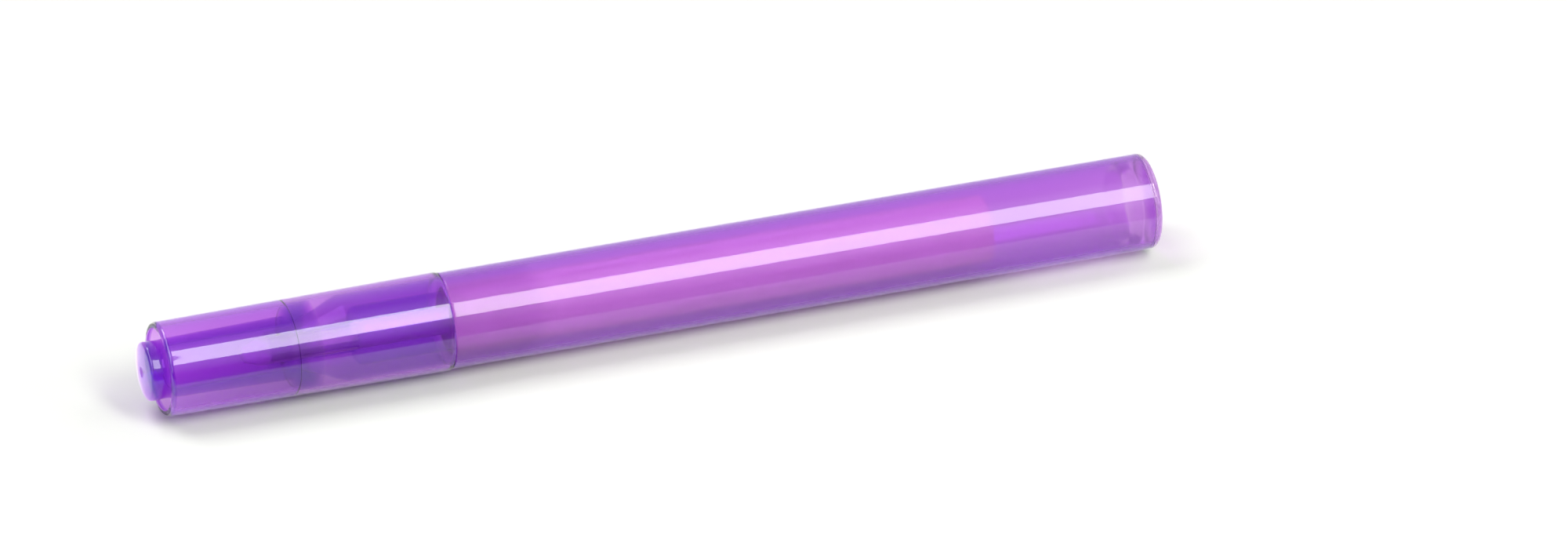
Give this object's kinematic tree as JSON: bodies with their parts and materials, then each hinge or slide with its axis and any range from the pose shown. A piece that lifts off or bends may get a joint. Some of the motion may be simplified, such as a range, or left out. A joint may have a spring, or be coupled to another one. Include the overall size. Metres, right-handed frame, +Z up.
{
  "type": "uv invisible ink pen",
  "caption": "Clear purple felt-tip pen for invisible ink: push-on cap with a sealing inner cap whose stub stands out of the open end, plain tube barrel and a fibre reservoir that shows through.",
  "frame": {"origin": "on the surface that the pen lies on, under the middle of its length", "axes": "+X along the pen's axis from the cap to the tail, +Z up, the pen's axis at the height of the cap lip's radius"},
  "size_m": [0.1194, 0.0112, 0.0113],
  "materials": {
    "clear_purple_plastic": "clear moulded plastic tinted purple, polished",
    "deep_purple_plastic": "slightly cloudy moulded plastic of the same purple",
    "nib_fibre": "pressed white fibre",
    "reservoir_fibre": "soft drawn fibre, faintly pink",
    "clear_film": "thin clear wrapping film"
  },
  "bodies": {
    "pen": {"barrel": "clear_purple_plastic", "tail_plug": "clear_purple_plastic", "section": "deep_purple_plastic", "nib": "nib_fibre", "ink_reservoir": "reservoir_fibre", "reservoir_film": "clear_film"},
    "cap": {"cap_tube": "clear_purple_plastic", "inner_cap": "deep_purple_plastic"}
  },
  "joints": [
    {"name": "cap_pull", "type": "slide", "parent": "pen", "child": "cap", "axis": [-1, 0, 0], "range_m": [0, 0.035]}
  ]
}
